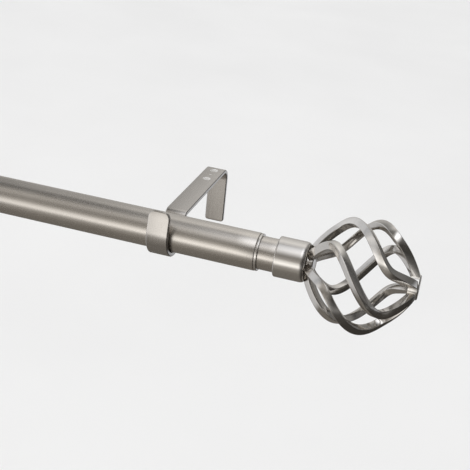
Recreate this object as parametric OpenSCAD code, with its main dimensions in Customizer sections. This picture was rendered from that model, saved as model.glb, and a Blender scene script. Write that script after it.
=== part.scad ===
// Telescoping curtain rod on two open hook brackets, with a twisted cage finial at each end.
// Millimetres. X runs along the rod, +Y points into the wall, +Z is up.
// The origin is the centre of the right-hand bracket's flat back face, where it rests on the wall.

/* [Placement] */
// Distance from the wall to the rod's centreline
rod_to_wall = 115; // [70:1:150]
// Height of the rod's centreline above the middle of the bracket's wall face
rod_height = 18.5; // [10:0.5:40]
// Distance between the two brackets
bracket_spacing = 569; // [400:1:900]
// Length of rod standing out past each bracket, up to the mouth of the outer tube
tube_overhang = 64.5; // [30:0.5:120]

/* [Tubes] */
// Outside diameter of the outer tube
outer_d = 25.4; // [19:0.1:32]
// Wall of the outer tube
outer_wall = 0.9; // [0.6:0.1:1.5]
// Outside diameter of the inner tube
inner_d = 22.2; // [16:0.1:28]
// Wall of the inner tube
inner_wall = 0.9; // [0.6:0.1:1.5]
// Length of the inner tube
inner_len = 640; // [400:1:900]
// Length of inner tube left showing between the mouth ring and the ferrule
neck_show = 11.1; // [5:0.1:60]
// Running clearance between parts that slide or turn on each other
run_gap = 0.05; // [0.03:0.01:0.1]

/* [Mouth ring] */
// Outside diameter of the ring at the mouth of the outer tube
ring_d = 25.0; // [22:0.1:30]
// Length of the ring that shows
ring_len = 2.0; // [1:0.1:5]
// Length of the sleeve behind the ring, inside the outer tube
sleeve_len = 20; // [10:1:40]
// Length of the glide ring on the hidden end of the inner tube
glide_len = 12; // [6:1:30]

/* [Ferrule] */
// Outside diameter of the ferrule
ferrule_d = 27.0; // [24:0.1:34]
// Length of the ferrule
ferrule_len = 20.4; // [12:0.1:30]
// Depth of the socket that covers the end of the neck
socket_depth = 8; // [4:0.5:12]
// Rounding of the ferrule's front edge
ferrule_round = 2.0; // [0.5:0.1:4]
// Depth of the seat in the ferrule's front, which takes the cage's hub
seat_depth = 2; // [0:0.1:3]
// Radius of that seat
seat_r = 12; // [9:0.1:12.5]
// Diameter of the finial's threaded stud
stud_d = 6; // [4:1:8]

/* [Cage] */
// Side of the square bars
bar_w = 5.1; // [3:0.1:8]
// Turn of the square section about the bar's own centreline: 45 puts an edge outwards
bar_turn = 45; // [0:1:90]
// Further turn that the section takes on its way from the widest point to the tip
tip_turn = 40; // [0:1:45]
// Length of the cage between the bars' centres at the hub and at the tip
cage_len = 67.5; // [50:0.5:90]
// Radius of the bars' centreline at the widest point
cage_r = 35.1; // [25:0.1:45]
// Radius of the bars' centreline where they meet the hub and the tip
bar_end_r = 6.4; // [5:0.1:10]
// Fullness of the cage: lower values give squarer shoulders
cage_power = 1.65; // [1:0.05:2.5]
// Angle of the first bar at the hub
twist_start = -32; // [-180:1:180]
// Angle through which each bar winds round from the hub to the tip
twist_total = 87; // [0:1:180]

/* [Bracket] */
// Width of the bracket's strip
strip_w = 15; // [10:0.5:25]
// Thickness of the bracket's strip
strip_t = 3; // [2:0.1:5]
// Height of the arm's top face above the rod's centreline
arm_top = 8.3; // [5:0.1:15]
// Distance of the lower end of the wall leg below the rod's centreline
leg_drop = 38.3; // [25:0.1:60]
// Outside radius of the bend between arm and wall leg
bend_r = 10.5; // [4:0.1:14]
// Inside radius of the hook
hook_r = 15.5; // [13.5:0.1:20]
// Height of the hook's centre above the rod's centreline
hook_rise = 2.75; // [2:0.05:5]
// Outside radius of the nearly flat front tab, which leans back over the rod
tab_r = 60; // [25:1:200]
// Height of the top of the front tab above the rod's centreline
tab_top = 20.8; // [12:0.1:25]
// Corner radius of the front tab's top
tab_corner = 5; // [2:0.5:7]
// Corner radius of the wall leg's lower end
leg_corner = 2; // [1:0.5:5]
// Diameter of the two screw holes in the arm
arm_hole_d = 5; // [3:0.1:7]
// Distance of the middle of the arm's hole group from the rod's centreline
arm_hole_at = 91.65; // [60:0.05:105]
// Distance between the two screw holes
arm_hole_pitch = 18.1; // [12:0.1:30]
// Diameter of the small pilot hole between them
pilot_d = 1.6; // [1:0.1:3]

/* [Hidden] */
$fn = 96;
eps = 0.01;
// Stations along the rod, measured from the right-hand bracket's middle
mid_x = -bracket_spacing / 2;
ring_x = tube_overhang;
neck_x = ring_x + ring_len;
ferrule_x = neck_x + neck_show;
front_x = ferrule_x + ferrule_len;
tube_end_x = ferrule_x + socket_depth;
outer_len = bracket_spacing + 2 * tube_overhang;
// Radii
outer_r = outer_d / 2;
outer_bore = outer_r - outer_wall;
inner_r = inner_d / 2;
inner_bore = inner_r - inner_wall;
insert_len = 12;
stud_hole = stud_d / 2 + run_gap;
plug_bore = 9;
// The stud starts a little way inside the insert and ends inside the hub.
stud_x = tube_end_x - insert_len + 1;
stud_stop = 1;
// Ferrule: rounding of the back edge, and free depth behind the tube's end
rear_round = 0.8;
socket_gap = 0.3;
// Cage
hub_r = 8.2;
hub_round = 1;
bar_half = bar_w * (cos(bar_turn) + sin(bar_turn)) / 2;
hub_h = 1.85 * bar_half;
seat_x = front_x - seat_depth;
cage_x = seat_x + bar_half;
bar_steps = 32;
// The bars wind between these two fractions of the cage's length, and run straight outside them.
wind_from = 0.21;
wind_to = 0.765;
wind_soft = 0.03;
silver = [0.72, 0.69, 0.65];
bright = [0.80, 0.78, 0.75];
nylon = [0.85, 0.84, 0.80];
zinc = [0.62, 0.61, 0.59];

// Placement helpers: children are drawn about the rod's centreline at the right-hand bracket.
module on_rod() {
    translate([0, -rod_to_wall, rod_height]) children();
}

// The left end is the right end turned half way round a vertical line at mid-span.
module left_end() {
    translate([2 * mid_x, 0, 0]) rotate([0, 0, 180]) children();
}

// A plain cylinder of length h along X, starting at x.
module barrel(x, r, h) {
    translate([x, 0, 0]) rotate([0, 90, 0]) cylinder(r = r, h = h);
}

// A tube along X from x0 to x1.
module pipe(x0, x1, ro, ri) {
    translate([x0, 0, 0]) rotate([0, 90, 0]) difference() {
        cylinder(r = ro, h = x1 - x0);
        translate([0, 0, -1]) cylinder(r = ri, h = x1 - x0 + 2);
    }
}

// ---- tubes ----
module outer_tube() {
    color(silver) on_rod() pipe(ring_x - outer_len, ring_x, outer_r, outer_bore);
}

module tube_liner() {
    bore = inner_r + run_gap;
    color(bright) on_rod() union() {
        pipe(ring_x, neck_x, ring_d / 2, bore);
        pipe(ring_x - sleeve_len, ring_x + eps, outer_bore, bore);
    }
}

module inner_tube() {
    color(silver) on_rod() pipe(tube_end_x - inner_len, tube_end_x, inner_r, inner_bore);
}

module inner_tube_glide() {
    x0 = tube_end_x - inner_len;
    color(nylon) on_rod() pipe(x0, x0 + glide_len, outer_bore - run_gap, inner_r);
}

module right_end_insert() {
    color(zinc) on_rod() pipe(tube_end_x - insert_len, tube_end_x, inner_bore, stud_hole);
}

// Plug in the left mouth of the outer tube, with a neck that matches the inner tube.
module left_end_adaptor() {
    color(silver) on_rod() left_end() difference() {
        union() {
            pipe(ring_x - sleeve_len, ring_x + eps, outer_bore, stud_hole);
            pipe(ring_x, neck_x, ring_d / 2, stud_hole);
            pipe(neck_x - eps, tube_end_x, inner_r, stud_hole);
        }
        barrel(ring_x - sleeve_len - 1, plug_bore, sleeve_len + 1);
    }
}

// ---- finial ----
module stud() {
    color(zinc) barrel(stud_x, stud_d / 2, seat_x + hub_h - stud_stop - stud_x);
}

// A disc along X, with its front edge rounded off.
module rounded_disc(x, r, h, c) {
    translate([x, 0, 0]) rotate([0, 90, 0]) union() {
        cylinder(r = r, h = h - c);
        cylinder(r = r - c, h = h);
        translate([0, 0, h - c]) rotate_extrude() translate([r - c, 0]) circle(r = c);
    }
}

module ferrule() {
    r = ferrule_d / 2;
    rear_x = ferrule_x + rear_round;
    color(bright) difference() {
        union() {
            rounded_disc(rear_x, r, ferrule_len - rear_round, ferrule_round);
            barrel(ferrule_x, r - rear_round, ferrule_len / 2);
            translate([rear_x, 0, 0]) rotate([0, 90, 0])
                rotate_extrude() translate([r - rear_round, 0]) circle(r = rear_round);
        }
        barrel(ferrule_x - 1, inner_r + run_gap, 1 + socket_depth + socket_gap);
        barrel(ferrule_x, stud_hole, ferrule_len + 1);
        barrel(seat_x, seat_r, seat_depth + 1);
    }
}

module cage_hub() {
    color(silver) difference() {
        rounded_disc(seat_x, hub_r, hub_h, hub_round);
        barrel(seat_x - 1, stud_d / 2, 1 + hub_h - stud_stop);
    }
}

module cage_tip() {
    color(silver) rounded_disc(cage_x + cage_len - hub_h / 2, hub_r, hub_h, hub_round);
}

// Shape of one bar: t runs from 0 at the hub to 180 at the tip.
function soft(x, k) = k * ln(1 + exp(x / k));
function wind(u) = (soft(u - wind_from, wind_soft) - soft(u - wind_to, wind_soft)) / (wind_to - wind_from);
function bar_r(t) = bar_end_r + (cage_r - bar_end_r) * pow(sin(t), cage_power);
function bar_a(t) = twist_start + twist_total * wind((1 - cos(t)) / 2);
function bar_p(t) = [
    cage_x + cage_len * (1 - cos(t)) / 2,
    -bar_r(t) * sin(bar_a(t)),
    bar_r(t) * cos(bar_a(t))
];
function unit(v) = v / norm(v);
function bar_t(t) = unit(bar_p(min(t + 4, 180)) - bar_p(max(t - 4, 0)));
function bar_roll(t) = bar_turn + tip_turn * (1 - cos(180 * max(0, t / 90 - 1))) / 2;
function outward(t) = bar_p(t) - [cage_x + cage_len / 2, 0, 0];
function bar_n(t) = unit(outward(t) - (outward(t) * bar_t(t)) * bar_t(t));
function bar_ring(t) =
    let (
        p = bar_p(t),
        n0 = bar_n(t),
        b0 = cross(bar_t(t), n0),
        a = bar_roll(t),
        n = (n0 * cos(a) + b0 * sin(a)) * bar_w / 2,
        b = (b0 * cos(a) - n0 * sin(a)) * bar_w / 2
    )
    [p + n + b, p - n + b, p - n - b, p + n - b];

module bar(k) {
    n = bar_steps;
    rings = [for (i = [0:n]) bar_ring(180 * i / n)];
    points = [for (r = rings) for (q = r) q];
    sides = [for (i = [0:n - 1]) for (j = [0:3])
        for (h = [0, 1]) h == 0
            ? [4 * i + j, 4 * i + (j + 1) % 4, 4 * i + 4 + j]
            : [4 * i + (j + 1) % 4, 4 * i + 4 + (j + 1) % 4, 4 * i + 4 + j]];
    ends = [[0, 3, 2], [0, 2, 1], [4 * n, 4 * n + 1, 4 * n + 2], [4 * n, 4 * n + 2, 4 * n + 3]];
    color(silver) rotate([60 * k, 0, 0]) polyhedron(points = points, faces = concat(sides, ends));
}

// ---- bracket ----
// Profile helpers work in [y, z] about the rod's centreline.
module ring_sector(c, ro, ri, a0, a1) {
    big = 3 * ro;
    am = (a0 + a1) / 2;
    translate(c) intersection() {
        difference() {
            circle(r = ro);
            circle(r = ri);
        }
        polygon([
            [0, 0],
            [big * cos(a0), big * sin(a0)],
            [big * cos(am), big * sin(am)],
            [big * cos(a1), big * sin(a1)]
        ]);
    }
}

module strip_profile() {
    back = rod_to_wall;
    arm_low = arm_top - strip_t;
    elbow = arm_top - bend_r;
    lip = arm_top - hook_rise;
    throat = hook_r + lip;
    hook_o = hook_r + strip_t;
    lean = asin((tab_top - hook_rise) / tab_r);
    translate([back - strip_t, -leg_drop]) square([strip_t, leg_drop + elbow]);
    ring_sector([back - bend_r, elbow], bend_r, bend_r - strip_t, 0, 90);
    translate([throat, arm_low]) square([back - bend_r - throat, strip_t]);
    ring_sector([throat, hook_rise], lip, lip - strip_t, 90, 180);
    ring_sector([0, hook_rise], hook_o, hook_r, 180, 270);
    ring_sector([0, hook_rise], hook_o, hook_r, 270, 360);
    ring_sector([tab_r - hook_o, hook_rise], tab_r, tab_r - strip_t, 180 - lean, 180);
}

// Outline seen from the front, which rounds the corners of both ends of the strip.
module strip_outline() {
    w = strip_w / 2;
    ct = tab_corner;
    cb = leg_corner;
    translate([-w, cb - leg_drop]) square([strip_w, leg_drop + tab_top - cb - ct]);
    translate([-w + cb, -leg_drop]) square([strip_w - 2 * cb, 10]);
    translate([-w + ct, tab_top - 10]) square([strip_w - 2 * ct, 10]);
    for (s = [-1, 1]) {
        translate([s * (w - cb), cb - leg_drop]) circle(r = cb);
        translate([s * (w - ct), tab_top - ct]) circle(r = ct);
    }
}

module bracket() {
    color(silver) difference() {
        intersection() {
            translate([-strip_w / 2, 0, 0]) rotate([90, 0, 90]) linear_extrude(strip_w) strip_profile();
            translate([0, rod_to_wall + 5, 0]) rotate([90, 0, 0])
                linear_extrude(rod_to_wall + 40) strip_outline();
        }
        for (s = [-1, 1])
            translate([0, arm_hole_at + s * arm_hole_pitch / 2, 0]) cylinder(d = arm_hole_d, h = 20);
        translate([0, arm_hole_at, 0]) cylinder(d = pilot_d, h = 20);
    }
}

outer_tube();
tube_liner();
left_end_adaptor();
inner_tube();
inner_tube_glide();
right_end_insert();
on_rod() stud();  // right_stud
on_rod() ferrule();  // right_ferrule
on_rod() cage_hub();  // right_cage_hub
on_rod() cage_tip();  // right_cage_tip
on_rod() bar(0);  // right_bar_1
on_rod() bar(1);  // right_bar_2
on_rod() bar(2);  // right_bar_3
on_rod() bar(3);  // right_bar_4
on_rod() bar(4);  // right_bar_5
on_rod() bar(5);  // right_bar_6
on_rod() left_end() stud();  // left_stud
on_rod() left_end() ferrule();  // left_ferrule
on_rod() left_end() cage_hub();  // left_cage_hub
on_rod() left_end() cage_tip();  // left_cage_tip
on_rod() left_end() bar(0);  // left_bar_1
on_rod() left_end() bar(1);  // left_bar_2
on_rod() left_end() bar(2);  // left_bar_3
on_rod() left_end() bar(3);  // left_bar_4
on_rod() left_end() bar(4);  // left_bar_5
on_rod() left_end() bar(5);  // left_bar_6
on_rod() bracket();  // right_bracket
translate([-bracket_spacing, 0, 0]) on_rod() bracket();  // left_bracket
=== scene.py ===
import math

import bmesh
import bpy
import numpy as np
from mathutils import Matrix, Vector


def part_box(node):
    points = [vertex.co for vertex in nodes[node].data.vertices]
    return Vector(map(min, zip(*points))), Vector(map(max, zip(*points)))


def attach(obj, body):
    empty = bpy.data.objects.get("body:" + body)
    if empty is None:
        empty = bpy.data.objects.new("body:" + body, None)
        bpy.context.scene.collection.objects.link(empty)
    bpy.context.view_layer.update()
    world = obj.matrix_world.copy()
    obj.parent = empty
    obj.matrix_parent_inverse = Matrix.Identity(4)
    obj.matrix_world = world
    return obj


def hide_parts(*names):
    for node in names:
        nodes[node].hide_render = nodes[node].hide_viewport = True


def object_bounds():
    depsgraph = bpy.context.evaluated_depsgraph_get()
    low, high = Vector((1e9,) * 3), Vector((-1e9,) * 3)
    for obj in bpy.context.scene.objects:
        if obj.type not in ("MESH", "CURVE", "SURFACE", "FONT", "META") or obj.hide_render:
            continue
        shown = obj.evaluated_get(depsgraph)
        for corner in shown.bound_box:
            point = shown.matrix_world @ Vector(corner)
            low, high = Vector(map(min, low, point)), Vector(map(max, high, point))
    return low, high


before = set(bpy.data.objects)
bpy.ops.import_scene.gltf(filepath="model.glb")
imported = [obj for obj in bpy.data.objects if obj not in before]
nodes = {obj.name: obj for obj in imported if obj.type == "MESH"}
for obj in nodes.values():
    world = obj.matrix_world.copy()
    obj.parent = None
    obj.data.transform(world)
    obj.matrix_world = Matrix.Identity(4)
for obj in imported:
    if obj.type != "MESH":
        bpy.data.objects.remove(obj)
cad_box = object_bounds()
MM = 0.001

# ------------------------------------------------------------------ sizes
# Places along the rod and radii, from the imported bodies. The right-hand end stands for both.
tube_lo, tube_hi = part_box("outer_tube")
inner_lo, inner_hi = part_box("inner_tube")
ring_lo, ring_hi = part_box("tube_liner")
ferrule_lo, ferrule_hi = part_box("right_ferrule")
hub_lo, hub_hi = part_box("right_cage_hub")
tip_lo, tip_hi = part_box("right_cage_tip")
AXIS = Vector((0, (tube_lo.y + tube_hi.y) / 2, (tube_lo.z + tube_hi.z) / 2))
MID_X = (tube_lo.x + tube_hi.x) / 2
OUTER_R = (tube_hi.z - tube_lo.z) / 2
INNER_R = (inner_hi.z - inner_lo.z) / 2
FERRULE_R = (ferrule_hi.z - ferrule_lo.z) / 2

# Tubes, mouth ring and ferrule
TUBE_WALL = 0.9 * MM
OUTER_LIP = 0.35 * MM
INNER_LIP = 0.3 * MM
RUN_GAP = 0.05 * MM
RING_R = 12.5 * MM
RING_EDGE = 0.45 * MM
STUD_BORE = 3.05 * MM
PLUG_BORE = 9.0 * MM
NECK_CHAMFER = 0.3 * MM
SOCKET_DEPTH = 8.3 * MM
SEAT_DEPTH = ferrule_hi.x - hub_lo.x
SEAT_R = 12 * MM
FERRULE_REAR = 0.8 * MM
FERRULE_FRONT = 3.4 * MM
SEAT_RIM = 0.1 * MM

# Cage
BAR_W = 5.1 * MM
BAR_ROUND = 0.42 * MM
BAR_TURN = math.radians(45)
TIP_TURN = math.radians(40)
BAR_END_R = 6.4 * MM
CAGE_X = hub_lo.x + BAR_W * math.sqrt(0.5)
CAGE_LEN = 67.5 * MM
CAGE_R = 35.1 * MM
CAGE_POWER = 1.65
TWIST_START = -32.0
TWIST_TOTAL = 87.0
# The bars wind between these two fractions of the cage's length.
WIND_FROM = 0.21
WIND_TO = 0.765
WIND_SOFT = 0.03
BOSS_R = 8.2 * MM
BOSS_EDGE = 1.0 * MM

# Bracket
STRIP_W = 15 * MM
STRIP_T = 3 * MM
STRIP_EDGE = 0.8 * MM
# At both ends the strip thins by this share of an edge rounding of this radius.
END_EDGE = 0.7 * MM
END_SHARE = 0.8
ARM_TOP = 8.3 * MM
LEG_DROP = 38.3 * MM
WALL = 115 * MM
BEND_R = 10.5 * MM
HOOK_R = 15.5 * MM
HOOK_RISE = 2.75 * MM
TAB_LEAN = 11
TAB_TOP = 20.8 * MM
TAB_CORNER = 5.0 * MM
LEG_CORNER = 2.0 * MM
HOLE_AT = 91.65 * MM
HOLE_PITCH = 18.1 * MM
HOLE_R = 2.5 * MM
HOLE_RIM = 0.35 * MM
PILOT_R = 0.8 * MM
PILOT_RIM = 0.1 * MM
# Faces this near to a hole, and no further below the arm, are taken as its wall.
HOLE_NEAR = 0.2 * MM
HOLE_BELOW = 0.5 * MM


# ------------------------------------------------------------------ mesh helpers
def sharpen(mesh, degrees):
    """Marks edges sharper than the angle, so flat faces stay crisp under smooth shading."""
    bm = bmesh.new()
    bm.from_mesh(mesh)
    limit = math.radians(degrees)
    for edge in bm.edges:
        if len(edge.link_faces) == 2:
            edge.smooth = edge.calc_face_angle(0) < limit
    bm.to_mesh(mesh)
    bm.free()


def shade_smooth(mesh, sharp_from=None):
    mesh.polygons.foreach_set("use_smooth", [True] * len(mesh.polygons))
    mesh.update()
    if sharp_from:
        sharpen(mesh, sharp_from)


def new_object(name, bm, sharp_from=None):
    mesh = bpy.data.meshes.new(name)
    bm.to_mesh(mesh)
    bm.free()
    ob = bpy.data.objects.new(name, mesh)
    bpy.context.scene.collection.objects.link(ob)
    shade_smooth(mesh, sharp_from)
    return ob


def skinned(name, rings_of_points, sharp_from=None):
    """A closed solid through rings that all have the same count of points."""
    bm = bmesh.new()
    rings = [[bm.verts.new(point) for point in ring] for ring in rings_of_points]
    count = len(rings[0])
    for a, b in zip(rings, rings[1:]):
        for i in range(count):
            j = (i + 1) % count
            bm.faces.new((a[i], a[j], b[j], b[i]))
    bm.faces.new(rings[0][::-1])
    bm.faces.new(rings[-1])
    bmesh.ops.recalc_face_normals(bm, faces=bm.faces[:])
    return new_object(name, bm, sharp_from)


def turned(name, profile, closed=True, steps=128):
    """A solid of revolution about the rod's axis. profile is [(x, r)], in metres, in order."""
    bm = bmesh.new()
    rings = []
    for x, r in profile:
        if r < 1e-7:
            rings.append([bm.verts.new((x, AXIS.y, AXIS.z))])
            continue
        ring = []
        for i in range(steps):
            a = 2 * math.pi * i / steps
            ring.append(bm.verts.new((x, AXIS.y + r * math.sin(a), AXIS.z + r * math.cos(a))))
        rings.append(ring)
    pairs = list(zip(rings, rings[1:]))
    if closed:
        pairs.append((rings[-1], rings[0]))
    for a, b in pairs:
        for i in range(steps):
            j = (i + 1) % steps
            if len(a) == 1:
                bm.faces.new((a[0], b[i], b[j]))
            elif len(b) == 1:
                bm.faces.new((a[i], b[0], a[j]))
            else:
                bm.faces.new((a[i], b[i], b[j], a[j]))
    bmesh.ops.recalc_face_normals(bm, faces=bm.faces[:])
    return new_object(name, bm, sharp_from=50)


def run(x0, x1, r, stops):
    """Profile points at radius r, at fractions of the way from x0 to x1."""
    return [(x0 + (x1 - x0) * t, r) for t in stops]


def rear_edge(x, r, edge, count):
    """Rounding from a flat end at x up to radius r."""
    return [
        (x + edge - edge * math.cos(a), r - edge + edge * math.sin(a))
        for a in np.linspace(0, math.pi / 2, count)
    ]


def front_edge(x, r, edge, count, drop=None, last=math.pi / 2):
    """Rounding from radius r down to a flat end at x. A drop other than the edge makes an ellipse."""
    drop = drop or edge
    return [
        (x - edge + edge * math.sin(a), r - drop + drop * math.cos(a))
        for a in np.linspace(0, last, count)
    ]


def rounded_section(half_w, half_t, r, steps):
    """Outline of a rectangle with rounded corners, each with steps pieces."""
    r = min(r, half_w * 0.98, half_t * 0.98)
    points = []
    for qx, qy, start in ((1, 1, 0), (-1, 1, 90), (-1, -1, 180), (1, -1, 270)):
        for k in range(steps + 1):
            a = math.radians(start + 90 * k / steps)
            points.append((qx * (half_w - r) + r * math.cos(a), qy * (half_t - r) + r * math.sin(a)))
    return points


def on_side(ob, side):
    """Turns a left-hand mesh half way round a vertical line at mid-span, and leaves a right-hand one."""
    if side == "left":
        there = Matrix.Translation((MID_X, AXIS.y, 0)) @ Matrix.Rotation(math.pi, 4, "Z")
        ob.data.transform(there @ Matrix.Translation((-MID_X, -AXIS.y, 0)))
    return ob


def dress(ob, material):
    ob.data.materials.clear()
    ob.data.materials.append(material)


def place(ob, body, node, material):
    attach(ob, body)
    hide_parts(node)
    dress(ob, material)


# ------------------------------------------------------------------ materials
class Graph:
    """A wrapper that makes the node tree of a material or a world readable."""

    def __init__(self, owner):
        owner.use_nodes = True
        self.owner = owner
        self.tree = owner.node_tree
        self.tree.nodes.clear()

    def node(self, kind, **values):
        """Each value goes to the input of that name, or else to the node's own property."""
        n = self.tree.nodes.new(kind)
        for key, value in values.items():
            if key in n.inputs:
                n.inputs[key].default_value = value
            else:
                setattr(n, key, value)
        return n

    def link(self, a, b):
        self.tree.links.new(a, b)

    def calc(self, op, a, b=None):
        n = self.node("ShaderNodeMath", operation=op)
        for socket, value in zip(n.inputs, (a, b)):
            if isinstance(value, (int, float)):
                socket.default_value = value
            elif value is not None:
                self.link(value, socket)
        return n.outputs[0]

    def times(self, a, b):
        return self.calc("MULTIPLY", a, b)

    def total(self, first, *others):
        for other in others:
            first = self.calc("ADD", first, other)
        return first

    def noise(self, vector, scale, detail, rough, offset=(0, 0, 0)):
        """Noise with its own scale along each axis, in cycles per metre."""
        m = self.node("ShaderNodeMapping", Scale=scale, Location=offset)
        self.link(vector, m.inputs["Vector"])
        n = self.node("ShaderNodeTexNoise", Scale=1.0, Detail=detail, Roughness=rough)
        self.link(m.outputs[0], n.inputs["Vector"])
        return n.outputs["Fac"]

    def ramp(self, fac, stops, kind="LINEAR"):
        n = self.node("ShaderNodeValToRGB")
        n.color_ramp.interpolation = kind
        elements = n.color_ramp.elements
        while len(elements) < len(stops):
            elements.new(0.5)
        for element, (position, colour) in zip(elements, stops):
            element.position = position
            element.color = (*colour, 1)
        self.link(fac, n.inputs["Fac"])
        return n.outputs["Color"]

    def remap(self, value, from_lo, from_hi, to_lo, to_hi, kind="LINEAR"):
        limits = {"From Min": from_lo, "From Max": from_hi, "To Min": to_lo, "To Max": to_hi}
        n = self.node("ShaderNodeMapRange", interpolation_type=kind, **limits)
        self.link(value, n.inputs["Value"])
        return n.outputs[0]

    def output(self, shader, kind):
        """Links the shader to a new output node, and gives back the material or world."""
        self.link(shader.outputs[0], self.node(kind).inputs["Surface"])
        return self.owner


# Noise scales, in cycles per metre: broad clouds and fine specks in metal, and the same in plastic
METAL_CLOUD = (38, 38, 38)
METAL_SPECKS = (900, 900, 900)
PLASTIC_CLOUD = (140, 140, 140)
PLASTIC_GRAIN = (2200, 2200, 2200)
METAL_RELIEF = 0.06 * MM
PLASTIC_RELIEF = 0.05 * MM


def tinted(colour, gain):
    return tuple(min(1, c * gain) for c in colour)


def brushed_metal(name, base, dark, rough, grain, bump=0.10, wear=0.5, vary=1.0, metallic=1.0):
    """Satin plated metal. grain scales the noise along X, Y and Z, so brush marks run the way of its
    smallest number."""
    g = Graph(bpy.data.materials.new(name))
    coords = g.node("ShaderNodeTexCoord").outputs["Object"]
    fine = g.noise(coords, grain, 3.0, 0.6)
    finer = g.noise(coords, [3.1 * v for v in grain], 2.0, 0.5, offset=(3.7, 1.1, 9.2))
    lines = g.total(g.times(fine, 0.6), g.times(finer, 0.4))
    cloud = g.noise(coords, METAL_CLOUD, 4.0, 0.5, offset=(0.3, 0.9, 0.1))
    specks = g.noise(coords, METAL_SPECKS, 2.0, 0.5)
    mottle = g.total(g.times(lines, 0.7), g.times(cloud, 0.3))
    colour = g.ramp(mottle, [(0.28, dark), (0.52, base), (0.76, tinted(base, 1.06))])
    roughness = g.total(
        g.remap(lines, 0.3, 0.7, rough - 0.05 * vary, rough + 0.05 * vary),
        g.remap(cloud, 0.35, 0.65, -0.03 * vary, 0.03 * vary),
        g.remap(specks, 0.4, 0.7, 0.0, 0.02 * wear),
    )
    # Edges that stand out are rubbed a little brighter.
    edge = g.node("ShaderNodeNewGeometry").outputs["Pointiness"]
    rubbed = g.remap(edge, 0.50, 0.62, 0.0, 1.0)
    mix = g.node("ShaderNodeMix", data_type="RGBA")
    g.link(g.times(rubbed, wear * 0.6), mix.inputs[0])
    g.link(colour, mix.inputs[6])
    mix.inputs[7].default_value = (*tinted(base, 1.16), 1)
    relief = g.node("ShaderNodeBump", Strength=bump, Distance=METAL_RELIEF)
    g.link(g.total(lines, g.times(specks, 0.25)), relief.inputs["Height"])
    s = g.node("ShaderNodeBsdfPrincipled", Metallic=metallic)
    g.link(mix.outputs[2], s.inputs["Base Color"])
    g.link(roughness, s.inputs["Roughness"])
    g.link(relief.outputs[0], s.inputs["Normal"])
    return g.output(s, "ShaderNodeOutputMaterial")


def moulded(name, base, rough):
    """Plain moulded plastic with a faint cloud and a fine grain."""
    g = Graph(bpy.data.materials.new(name))
    coords = g.node("ShaderNodeTexCoord").outputs["Object"]
    cloud = g.noise(coords, PLASTIC_CLOUD, 4.0, 0.6)
    fine = g.noise(coords, PLASTIC_GRAIN, 2.0, 0.5)
    relief = g.node("ShaderNodeBump", Strength=0.15, Distance=PLASTIC_RELIEF)
    g.link(fine, relief.inputs["Height"])
    s = g.node("ShaderNodeBsdfPrincipled")
    s.inputs["Subsurface Weight"].default_value = 0.05
    g.link(g.ramp(cloud, [(0.3, tinted(base, 0.88)), (0.7, base)]), s.inputs["Base Color"])
    g.link(g.remap(fine, 0.3, 0.7, rough - 0.06, rough + 0.06), s.inputs["Roughness"])
    g.link(relief.outputs[0], s.inputs["Normal"])
    return g.output(s, "ShaderNodeOutputMaterial")


NICKEL = (0.62, 0.585, 0.54)
NICKEL_DARK = (0.575, 0.54, 0.50)
CAST = (0.66, 0.635, 0.60)
CAST_DARK = (0.58, 0.55, 0.515)
STRIP = (0.54, 0.515, 0.485)
STRIP_DARK = (0.46, 0.435, 0.405)
# The next two colours are for the holes' walls. They are near-white, a painted highlight standing in for
# the light that falls into the holes.
BORE_HIGHLIGHT = (0.90, 0.89, 0.87)
BORE_HIGHLIGHT_DARK = (0.80, 0.79, 0.77)
ZINC = (0.62, 0.62, 0.60)
ZINC_DARK = (0.50, 0.50, 0.49)
# Tubes and ferrules are brushed lengthwise, so the marks are long in X and fine across it. The
# strip's marks run along its length.
ALONG_ROD = (30, 1500, 1500)
ALONG_STRIP = (1500, 60, 60)
CAST_GRAIN = (500, 500, 500)
FINE_GRAIN = (900, 900, 900)
tube_metal = brushed_metal(
    "tube_brushed_nickel", NICKEL, NICKEL_DARK, 0.27, ALONG_ROD, bump=0.03, vary=0.4)
cast_metal = brushed_metal(
    "cast_satin_nickel", CAST, CAST_DARK, 0.13, CAST_GRAIN, bump=0.05, wear=0.8)
ferrule_metal = brushed_metal(
    "ferrule_satin_nickel", CAST, CAST_DARK, 0.23, ALONG_ROD, bump=0.03, wear=0.8, vary=0.4)
strip_metal = brushed_metal(
    "strip_satin_nickel", STRIP, STRIP_DARK, 0.25, ALONG_STRIP, bump=0.12, wear=0.9)
bore_highlight_metal = brushed_metal(
    "bore_painted_highlight", BORE_HIGHLIGHT, BORE_HIGHLIGHT_DARK, 0.5, FINE_GRAIN, bump=0.05, metallic=0.45)
zinc_metal = brushed_metal("plain_zinc_plate", ZINC, ZINC_DARK, 0.34, FINE_GRAIN)
nylon = moulded("natural_nylon", (0.80, 0.78, 0.73), 0.48)


# ------------------------------------------------------------------ tubes, ferrules, mouth ring
def tube_profile(lo, hi, r, lip):
    """Open pipe with rounded lips at both ends."""
    bore = r - TUBE_WALL
    return [
        *rear_edge(lo.x, r, lip, 5),
        *run(lo.x, hi.x, r, np.linspace(0.02, 0.98, 60)),
        *front_edge(hi.x, r, lip, 5),
        *run(hi.x, lo.x, bore, (0, 0.02, 0.5, 0.98, 1)),
    ]


def ferrule_profile():
    """A socket at the back, a long soft rounding at the front and a seat for the cage's hub."""
    x0, x1 = ferrule_lo.x, ferrule_hi.x
    bore = INNER_R + RUN_GAP
    floor_x = x0 + SOCKET_DEPTH
    seat_x = x1 - SEAT_DEPTH
    return [
        (x0, bore),
        *rear_edge(x0, FERRULE_R, FERRULE_REAR, 9),
        *run(x0 + FERRULE_REAR, x1 - FERRULE_FRONT, FERRULE_R, np.linspace(0.04, 0.96, 12)),
        *front_edge(x1, FERRULE_R, FERRULE_FRONT, 19, drop=FERRULE_R - SEAT_R, last=1.5),
        (x1 - SEAT_RIM, SEAT_R),
        (seat_x, SEAT_R),
        (seat_x, SEAT_R * 0.6),
        (seat_x, STUD_BORE),
        (floor_x, STUD_BORE),
        (floor_x, bore),
    ]


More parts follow.
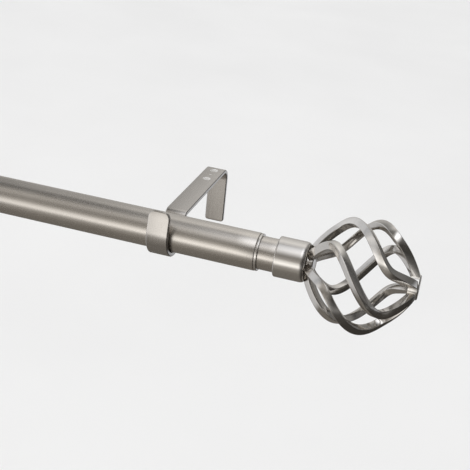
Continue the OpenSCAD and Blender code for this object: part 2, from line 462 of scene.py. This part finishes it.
def ring_profile(bore):
    """The mouth ring and the sleeve behind it, from the sleeve's hidden end to the ring's front edge."""
    sleeve_r = OUTER_R - TUBE_WALL
    return [
        (ring_lo.x, bore),
        (ring_lo.x, sleeve_r),
        (tube_hi.x, sleeve_r),
        *rear_edge(tube_hi.x, RING_R, RING_EDGE, 7),
        *front_edge(ring_hi.x, RING_R, RING_EDGE, 7),
    ]


outer = turned("outer_tube_skin", tube_profile(tube_lo, tube_hi, OUTER_R, OUTER_LIP))
place(outer, "rod", "outer_tube", tube_metal)
inner = turned("inner_tube_skin", tube_profile(inner_lo, inner_hi, INNER_R, INNER_LIP))
place(inner, "extension", "inner_tube", tube_metal)
for side in ("right", "left"):
    ferrule = on_side(turned(side + "_ferrule_skin", ferrule_profile()), side)
    place(ferrule, side + "_finial", side + "_ferrule", ferrule_metal)
ring_bore = INNER_R + RUN_GAP
mouth = turned("mouth_ring", ring_profile(ring_bore) + [(ring_hi.x, ring_bore)])
place(mouth, "rod", "tube_liner", ferrule_metal)

# The left mouth has the same ring, on a plug with a fixed neck in the tube's own finish.
plug = turned("left_end_plug", ring_profile(PLUG_BORE) + [
    *run(ring_hi.x, inner_hi.x - NECK_CHAMFER, INNER_R, (0, 0.02, 0.3, 0.6, 0.98, 1)),
    (inner_hi.x, INNER_R - NECK_CHAMFER),
    (inner_hi.x, STUD_BORE),
    (tube_hi.x, STUD_BORE),
    (tube_hi.x, PLUG_BORE),
])
place(on_side(plug, "left"), "rod", "left_end_adaptor", ferrule_metal)
plug.data.materials.append(tube_metal)
for face in plug.data.polygons:
    if face.center.x < 2 * MID_X - ring_hi.x:
        face.material_index = 1
for name in ("right_stud", "left_stud", "right_end_insert"):
    dress(nodes[name], zinc_metal)
dress(nodes["inner_tube_glide"], nylon)


# ------------------------------------------------------------------ cages
def soft(x, k):
    return k * math.log(1 + math.exp(x / k))


def wind(u):
    """How far a bar has wound round, from 0 to 1, at fraction u of the cage's length."""
    return (soft(u - WIND_FROM, WIND_SOFT) - soft(u - WIND_TO, WIND_SOFT)) / (WIND_TO - WIND_FROM)


def bar_point(t):
    """Centre of the first bar, about the rod's axis: t runs from 0 at the hub to pi at the tip."""
    r = BAR_END_R + (CAGE_R - BAR_END_R) * max(0.0, math.sin(t)) ** CAGE_POWER
    u = (1 - math.cos(t)) / 2
    a = math.radians(TWIST_START + TWIST_TOTAL * wind(u))
    return Vector((CAGE_X + CAGE_LEN * u, -r * math.sin(a), r * math.cos(a)))


def bar_mesh(name, k, steps=120):
    """A square bar with rounded edges, which rolls about its own centreline on its way to the tip."""
    centre = Vector((CAGE_X + CAGE_LEN / 2, 0, 0))
    section = rounded_section(BAR_W / 2, BAR_W / 2, BAR_ROUND, 4)
    turn = Matrix.Rotation(math.radians(60 * k), 3, "X")
    near = math.radians(4)
    rings = []
    for i in range(steps + 1):
        t = math.pi * i / steps
        p = bar_point(t)
        tangent = (bar_point(min(t + near, math.pi)) - bar_point(max(t - near, 0))).normalized()
        out = p - centre
        n = (out - out.dot(tangent) * tangent).normalized()
        b = tangent.cross(n)
        late = max(0.0, 2 * t / math.pi - 1)
        roll = BAR_TURN + TIP_TURN * (1 - math.cos(math.pi * late)) / 2
        n2 = n * math.cos(roll) + b * math.sin(roll)
        b2 = b * math.cos(roll) - n * math.sin(roll)
        rings.append([turn @ (p + n2 * u + b2 * v) + AXIS for u, v in section])
    return skinned(name, rings, sharp_from=60)


def boss_profile(lo, hi):
    """A low boss with a rounded shoulder."""
    return [
        (lo.x, 0.0),
        (lo.x, BOSS_R * 0.5),
        *run(lo.x, hi.x - BOSS_EDGE, BOSS_R, (0, 0.5)),
        *front_edge(hi.x, BOSS_R, BOSS_EDGE, 9),
        (hi.x, (BOSS_R - BOSS_EDGE) * 0.5),
        (hi.x, 0.0),
    ]


for side in ("right", "left"):
    finial = side + "_finial"
    for k in range(6):
        bar = on_side(bar_mesh(f"{side}_cage_bar_{k + 1}", k), side)
        place(bar, finial, f"{side}_bar_{k + 1}", cast_metal)
    hub = on_side(turned(side + "_hub_boss", boss_profile(hub_lo, hub_hi), closed=False), side)
    tip = on_side(turned(side + "_tip_boss", boss_profile(tip_lo, tip_hi), closed=False), side)
    place(hub, finial, side + "_cage_hub", cast_metal)
    place(tip, finial, side + "_cage_tip", cast_metal)


# ------------------------------------------------------------------ brackets
def arc(cy, cz, r, a0, a1, count):
    """Points of an arc from angle a0 up to a1, in degrees, without the last one."""
    angles = [math.radians(a0 + (a1 - a0) * i / count) for i in range(count)]
    return [(cy + r * math.cos(a), cz + r * math.sin(a)) for a in angles]


def line(a, b, step=1.0 * MM):
    """Points of a straight line from a to b, without the last one."""
    a, b = Vector(a), Vector(b)
    count = max(2, int((b - a).length / step))
    return [a.lerp(b, k / count) for k in range(count)]


def strip_path():
    """Middle line of the bent strip in (y, z) about the rod's axis, from the leg's end to the tab's top."""
    half = STRIP_T / 2
    mid_r = HOOK_R + half
    lip = ARM_TOP - HOOK_RISE
    lean = math.radians(TAB_LEAN)
    bend = Vector((WALL - BEND_R, ARM_TOP - BEND_R))
    throat = Vector((HOOK_R + lip, HOOK_RISE))
    tab_foot = Vector((-mid_r * math.cos(lean), HOOK_RISE + mid_r * math.sin(lean)))
    outer_foot = HOOK_RISE + (HOOK_R + STRIP_T) * math.sin(lean)
    tab_len = (TAB_TOP - outer_foot) / math.cos(lean)
    tab_end = tab_foot + Vector((math.sin(lean), math.cos(lean))) * tab_len
    points = [
        *line((WALL - half, -LEG_DROP), (WALL - half, bend.y)),
        *arc(*bend, BEND_R - half, 0, 90, 20),
        *line((bend.x, ARM_TOP - half), (throat.x, ARM_TOP - half)),
        *arc(*throat, lip - half, 90, 180, 14),
        *arc(0, HOOK_RISE, mid_r, 360, 180 - TAB_LEAN, 72),
        *line(tab_foot, tab_end),
        tab_end,
    ]
    return [Vector(p) for p in points]


def inset(d, r):
    """How far a corner of radius r has drawn in, at distance d from the end."""
    if d >= r:
        return 0.0
    return r - math.sqrt(max(0.0, r * r - (r - d) ** 2))


def resample(path, extra):
    """Adds stations at the extra distances from both ends. Gives (point, from start, from end)."""
    distances = [0.0]
    for a, b in zip(path, path[1:]):
        distances.append(distances[-1] + (b - a).length)
    whole = distances[-1]
    stations = []
    for d in sorted(set(distances) | set(extra) | {whole - e for e in extra}):
        k = 0
        while k < len(distances) - 2 and distances[k + 1] < d:
            k += 1
        f = (d - distances[k]) / (distances[k + 1] - distances[k])
        point = path[k].lerp(path[k + 1], min(1, max(0, f)))
        stations.append((point, d, whole - d))
    return stations


def bracket_mesh(name, shift_x):
    """The strip's rounded section, swept along its path and drawn in at both ends' corners."""
    corner = [TAB_CORNER * (1 - math.cos(math.radians(a))) for a in range(6, 91, 6)]
    stations = resample(strip_path(), [0.0] + corner)
    last = len(stations) - 1
    rings = []
    for k, (p, from_leg, from_tab) in enumerate(stations):
        tangent = (stations[min(last, k + 1)][0] - stations[max(0, k - 1)][0]).normalized()
        normal = Vector((-tangent.y, tangent.x))
        half_w = STRIP_W / 2 - inset(from_leg, LEG_CORNER) - inset(from_tab, TAB_CORNER)
        half_t = STRIP_T / 2 - END_SHARE * inset(min(from_leg, from_tab), END_EDGE)
        ring = []
        for u, v in rounded_section(half_w, half_t, STRIP_EDGE, 6):
            q = p + normal * v
            ring.append((shift_x + u, q.x + AXIS.y, q.y + AXIS.z))
        rings.append(ring)
    return skinned(name, rings)


def hole_cutter(x, y, radius, rim, count=64):
    """Drill with a flared rim at both faces of the arm, which leaves a small chamfer."""
    top = AXIS.z + ARM_TOP
    low = top - STRIP_T
    spare = 2 * MM
    wide = radius + rim + spare
    rings = []
    for z, r in ((low - spare, wide), (low + rim, radius), (top - rim, radius), (top + spare, wide)):
        angles = [2 * math.pi * i / count for i in range(count)]
        rings.append([(x + r * math.cos(a), y + r * math.sin(a), z) for a in angles])
    return skinned("cutter", rings)


def drill(ob, cutters):
    """Cuts the holes, applies the result to the mesh and removes the cutters."""
    for cutter in cutters:
        cut = ob.modifiers.new("hole", "BOOLEAN")
        cut.object = cutter
        cut.operation = "DIFFERENCE"
        cut.solver = "EXACT"
    bpy.context.view_layer.update()
    result = ob.evaluated_get(bpy.context.evaluated_depsgraph_get())
    mesh = bpy.data.meshes.new_from_object(result)
    ob.modifiers.clear()
    ob.data = mesh
    for cutter in cutters:
        bpy.data.objects.remove(cutter)


holes = [(AXIS.y + HOLE_AT + s * HOLE_PITCH / 2, HOLE_R, HOLE_RIM) for s in (-1, 1)]
holes.append((AXIS.y + HOLE_AT, PILOT_R, PILOT_RIM))
arm_low = AXIS.z + ARM_TOP - STRIP_T
for side, shift in (("right", 0.0), ("left", 2 * MID_X)):
    strip = bracket_mesh(side + "_bracket_strip", shift)
    drill(strip, [hole_cutter(shift, *hole) for hole in holes])
    shade_smooth(strip.data, sharp_from=32)
    place(strip, "brackets", side + "_bracket", strip_metal)
    # The holes' walls get the near-white material, a painted highlight for the light inside the holes.
    strip.data.materials.append(bore_highlight_metal)
    for face in strip.data.polygons:
        c = face.center
        in_hole = any(
            (c.x - shift) ** 2 + (c.y - y) ** 2 < (r + rim + HOLE_NEAR) ** 2
            for y, r, rim in holes
        )
        if in_hole and c.z > arm_low - HOLE_BELOW and abs(face.normal.z) < 0.9:
            face.material_index = 1

# ------------------------------------------------------------------ camera
AZIMUTH, ELEVATION, ROLL = (math.radians(a) for a in (14.51, 25.53, 6.08))
CAMERA_AIM = AXIS + Vector((47.74, 0, 8.32)) * MM
CAMERA_DISTANCE = 602.2 * MM
CAMERA_LENS = 70.4604
sin_az, cos_az = math.sin(AZIMUTH), math.cos(AZIMUTH)
sin_el, cos_el = math.sin(ELEVATION), math.cos(ELEVATION)
back = Vector((sin_az * cos_el, -cos_az * cos_el, sin_el))
flat = Vector((cos_az, sin_az, 0))
rise = Vector((-sin_el * sin_az, sin_el * cos_az, cos_el))
right = math.cos(ROLL) * flat + math.sin(ROLL) * rise
up = math.cos(ROLL) * rise - math.sin(ROLL) * flat
cam_data = bpy.data.cameras.new("camera")
cam_data.lens = CAMERA_LENS
cam_data.sensor_width = 36
cam_data.clip_start = 0.01
cam_data.clip_end = 20
cam = bpy.data.objects.new("camera", cam_data)
bpy.context.scene.collection.objects.link(cam)
turn = Matrix((right, up, back)).transposed().to_4x4()
cam.matrix_world = Matrix.Translation(CAMERA_AIM + CAMERA_DISTANCE * back) @ turn
bpy.context.scene.camera = cam

# ------------------------------------------------------------------ floor
FLOOR_DROP = 0.30
FLOOR_HALF = 6.0
floor_z = cad_box[0][2] - FLOOR_DROP
bm = bmesh.new()
corners = ((-1, -1), (1, -1), (1, 1), (-1, 1))
bm.faces.new([bm.verts.new((FLOOR_HALF * x, FLOOR_HALF * y, floor_z)) for x, y in corners])
floor = new_object("floor", bm)
g = Graph(bpy.data.materials.new("pale_floor"))
tone = g.noise(g.node("ShaderNodeTexCoord").outputs["Object"], (3, 3, 3), 3.0, 0.5)
paint = g.node("ShaderNodeBsdfPrincipled", Roughness=0.8)
g.link(g.ramp(tone, [(0.3, (0.86,) * 3), (0.7, (0.89,) * 3)]), paint.inputs["Base Color"])
dress(floor, g.output(paint, "ShaderNodeOutputMaterial"))
floor.visible_glossy = False

# ------------------------------------------------------------------ world
# The room that the metal mirrors, by angle round the rod: 0 is the horizon in front of it,
# 90 is overhead, 180 is the wall side and negative angles are below. Each stop is angle,
# brightness and tone, where tone runs from -1 (warm) to 1 (cool).
ROOM = [
    (-172, 0.50, 0.0), (-140, 0.18, -1.0), (-60, 0.22, -1.0), (-38, 0.32, -0.8), (-24, 0.47, -0.3),
    (-9, 1.80, 0.4), (5, 1.25, 0.2), (18, 0.50, -0.5), (34, 0.27, -0.7), (64, 0.53, -0.3),
    (82, 0.28, -0.4), (98, 0.22, 0.0), (122, 0.84, 0.5), (150, 0.64, 0.5), (172, 0.55, 0.4),
]

w = Graph(bpy.data.worlds.new("studio"))
bpy.context.scene.world = w.owner
w.owner.cycles.sampling_method = "NONE"
split = w.node("ShaderNodeSeparateXYZ")
w.link(w.node("ShaderNodeTexCoord").outputs["Generated"], split.inputs[0])
dx, dy, dz = split.outputs
around = w.calc("ARCTAN2", dz, w.times(dy, -1.0))


def toned(v, tone):
    return (v, v * (0.97 + 0.04 * tone), v * (0.93 + 0.09 * tone))


def lobe(centre, width):
    """1 at the centre angle round the rod, falling to 0 at the width away from it, in degrees."""
    off = w.calc("ABSOLUTE", w.calc("SUBTRACT", around, math.radians(centre)))
    return w.remap(off, math.radians(width), 0.0, 0.0, 1.0, "SMOOTHSTEP")


def towards_right(lo, hi, a, b):
    """Goes from a to b as a direction's part along the rod goes from lo to hi: -1 left, 1 right."""
    return w.remap(dx, lo, hi, a, b, "SMOOTHSTEP")


stops = [((degrees + 180) / 360, toned(v, tone)) for degrees, v, tone in ROOM]
room = w.ramp(w.total(w.times(around, 1 / (2 * math.pi)), 0.5), stops, "EASE")
# The wall side and the front are brighter towards the right-hand end, up to a point.
gain = w.total(
    w.times(lobe(125, 75), towards_right(-0.48, -0.16, -0.65, 0.30)),
    w.times(lobe(-6, 50), towards_right(-0.46, -0.20, -0.30, 0.10)),
    w.times(lobe(12, 32), towards_right(-0.18, -0.15, 0.0, -0.38)),
    w.times(lobe(-6, 50), towards_right(-0.08, 0.08, 0.0, -0.5)),
    1.0,
)
gain = w.times(gain, towards_right(0.0, 0.36, 1.0, 0.26))
overhead = w.times(lobe(77, 44), towards_right(-0.225, -0.13, 0.0, 1.6))
overhead = w.times(overhead, towards_right(0.05, 0.30, 1.0, 0.04))
left_side = towards_right(-0.80, -0.50, 0.48, 0.0)
low_wall = w.times(lobe(-158, 22), towards_right(0.08, 0.20, 0.0, 0.6))
panels = w.total(overhead, left_side, low_wall)

scaled = w.node("ShaderNodeVectorMath", operation="SCALE")
w.link(room, scaled.inputs[0])
w.link(gain, scaled.inputs["Scale"])
cool = w.node("ShaderNodeVectorMath", operation="SCALE")
cool.inputs[0].default_value = (0.96, 1.0, 1.08)
w.link(panels, cool.inputs["Scale"])
both = w.node("ShaderNodeVectorMath", operation="ADD")
w.link(scaled.outputs[0], both.inputs[0])
w.link(cool.outputs[0], both.inputs[1])
mirrored = w.node("ShaderNodeBackground", Strength=1.0)
w.link(both.outputs[0], mirrored.inputs["Color"])
# Everything but a mirrored ray meets a plain white room.
plain_light = w.node("ShaderNodeBackground", Strength=1.0, Color=(0.97, 0.97, 0.97, 1))
mixer = w.node("ShaderNodeMixShader")
w.link(w.node("ShaderNodeLightPath").outputs["Is Glossy Ray"], mixer.inputs[0])
w.link(plain_light.outputs[0], mixer.inputs[1])
w.link(mirrored.outputs[0], mixer.inputs[2])
w.output(mixer, "ShaderNodeOutputWorld")

# ------------------------------------------------------------------ key light
KEY_AT = Vector((-0.9, -1.2, 1.3))
KEY_AIM = Vector((0, -0.1, 0))
KEY_SIDE = 0.9
KEY_WATTS = 4
lamp = bpy.data.lights.new("key", "AREA")
lamp.shape = "SQUARE"
lamp.size = KEY_SIDE
lamp.energy = KEY_WATTS
lamp.color = (1.0, 0.98, 0.95)
key = bpy.data.objects.new("key", lamp)
key.location = KEY_AT
key.rotation_euler = (KEY_AIM - KEY_AT).to_track_quat("-Z", "Y").to_euler()
key.visible_glossy = False
key.visible_camera = False
bpy.context.scene.collection.objects.link(key)

bpy.context.scene.view_settings.view_transform = "Standard"

# ------------------------------------------------------------------ update
bpy.context.view_layer.update()
